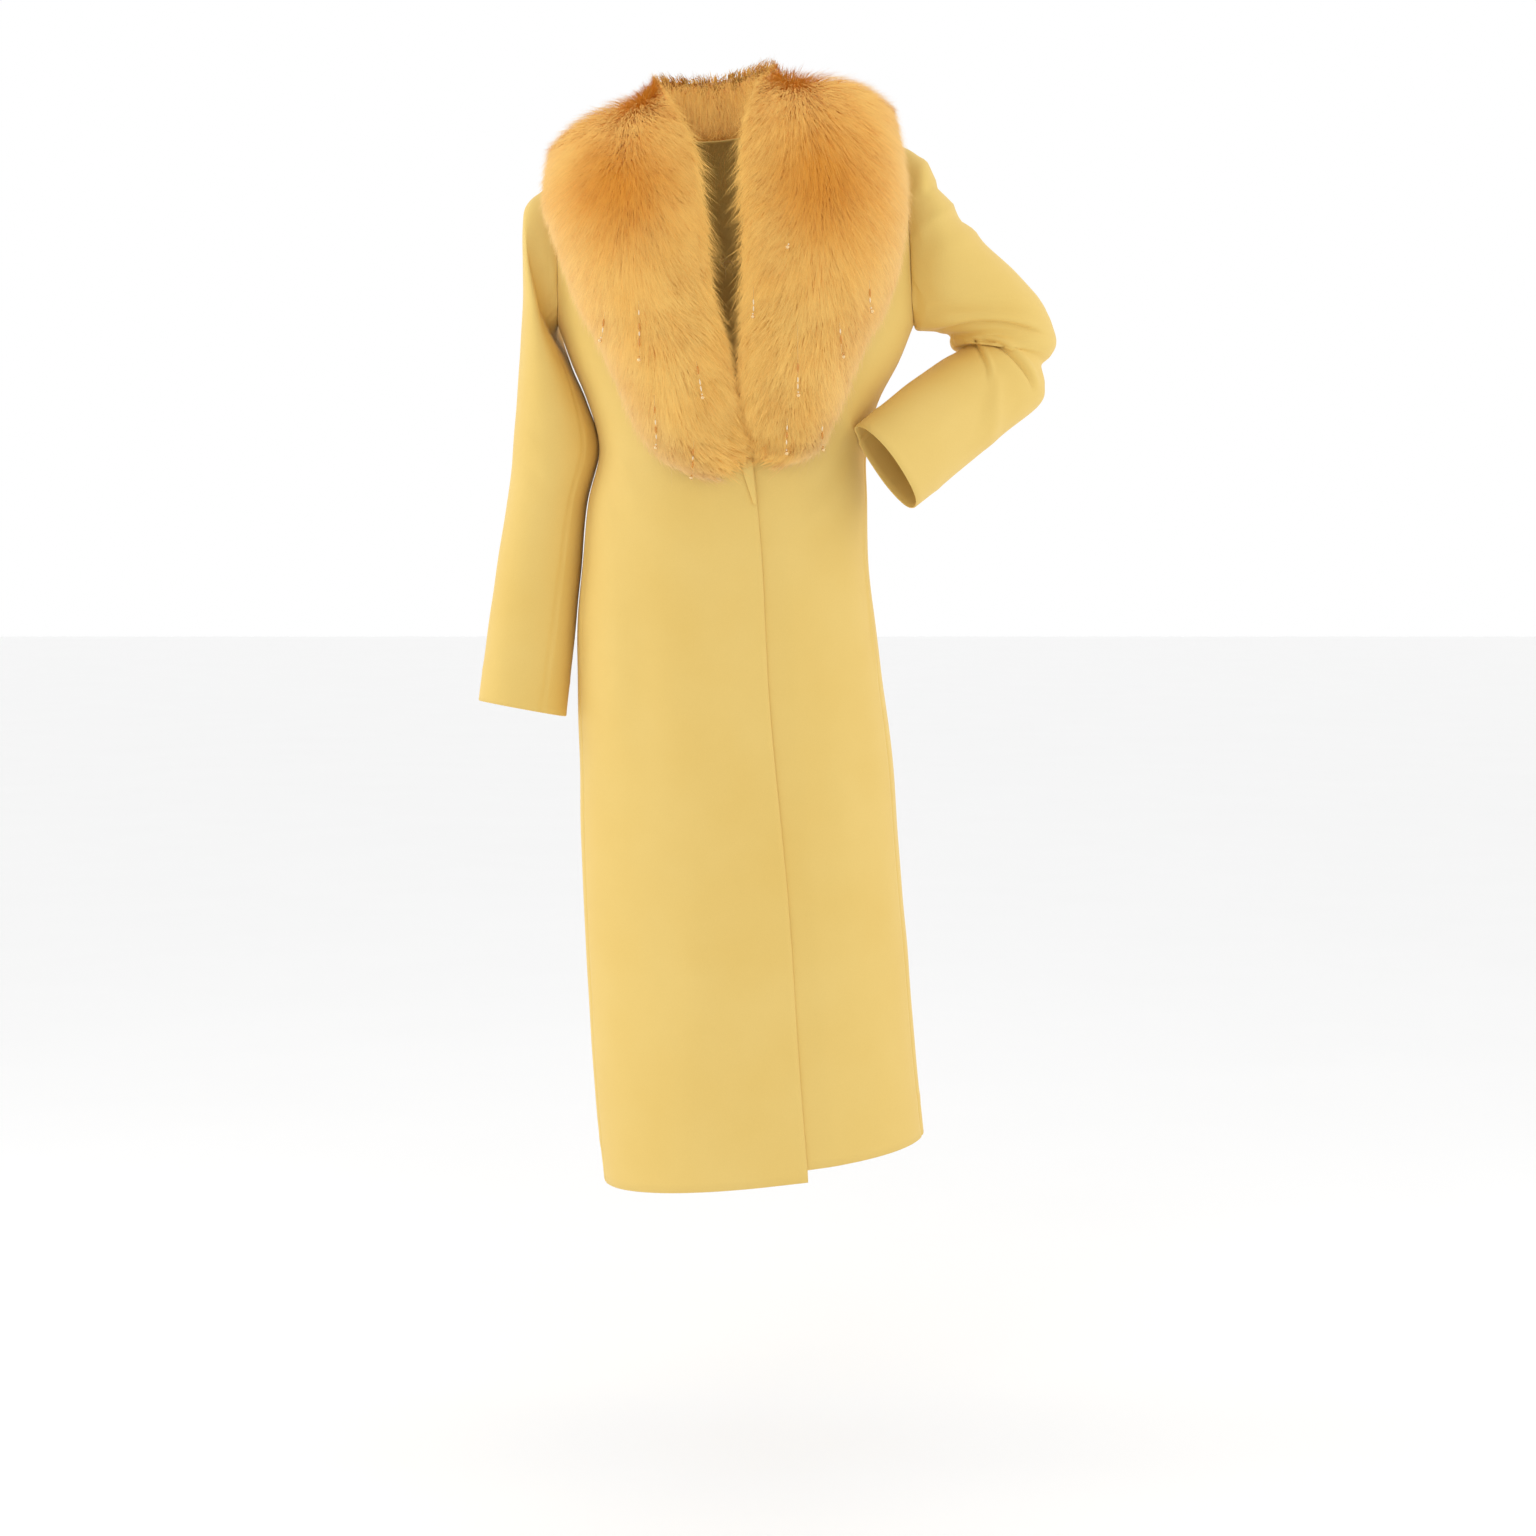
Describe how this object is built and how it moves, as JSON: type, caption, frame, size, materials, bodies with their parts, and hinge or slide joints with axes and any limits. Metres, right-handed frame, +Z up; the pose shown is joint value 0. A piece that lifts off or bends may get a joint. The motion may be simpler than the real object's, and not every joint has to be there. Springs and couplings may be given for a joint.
{
  "type": "fur-collar coat",
  "caption": "Long slim coat of pale yellow wool crepe with a broad orange-gold fur shawl collar, in-seam side pockets, right front over left, held in the hollow form it has when worn",
  "frame": {"origin": "middle of the base of the wearer's neck, where the neck and shoulders hold the coat up", "axes": "+Z is up along the coat, -Y is its front, +X is the wearer's left"},
  "size_m": [0.6501, 0.3243, 1.2645],
  "materials": {
    "wool_crepe": "matt crepe with a soft sheen",
    "pocket_lining": "smooth satin lining",
    "dyed_fox_fur": "long silky fur"
  },
  "bodies": {
    "root": {"back": "wool_crepe", "front_right": "wool_crepe", "front_left": "wool_crepe", "facing_right": "wool_crepe", "sleeve_right_upper": "wool_crepe", "sleeve_right_under": "wool_crepe", "sleeve_left_upper": "wool_crepe", "sleeve_left_under": "wool_crepe", "pocket_right": "pocket_lining", "pocket_left": "pocket_lining", "collar_right": "dyed_fox_fur", "collar_left": "dyed_fox_fur"}
  },
  "joints": []
}
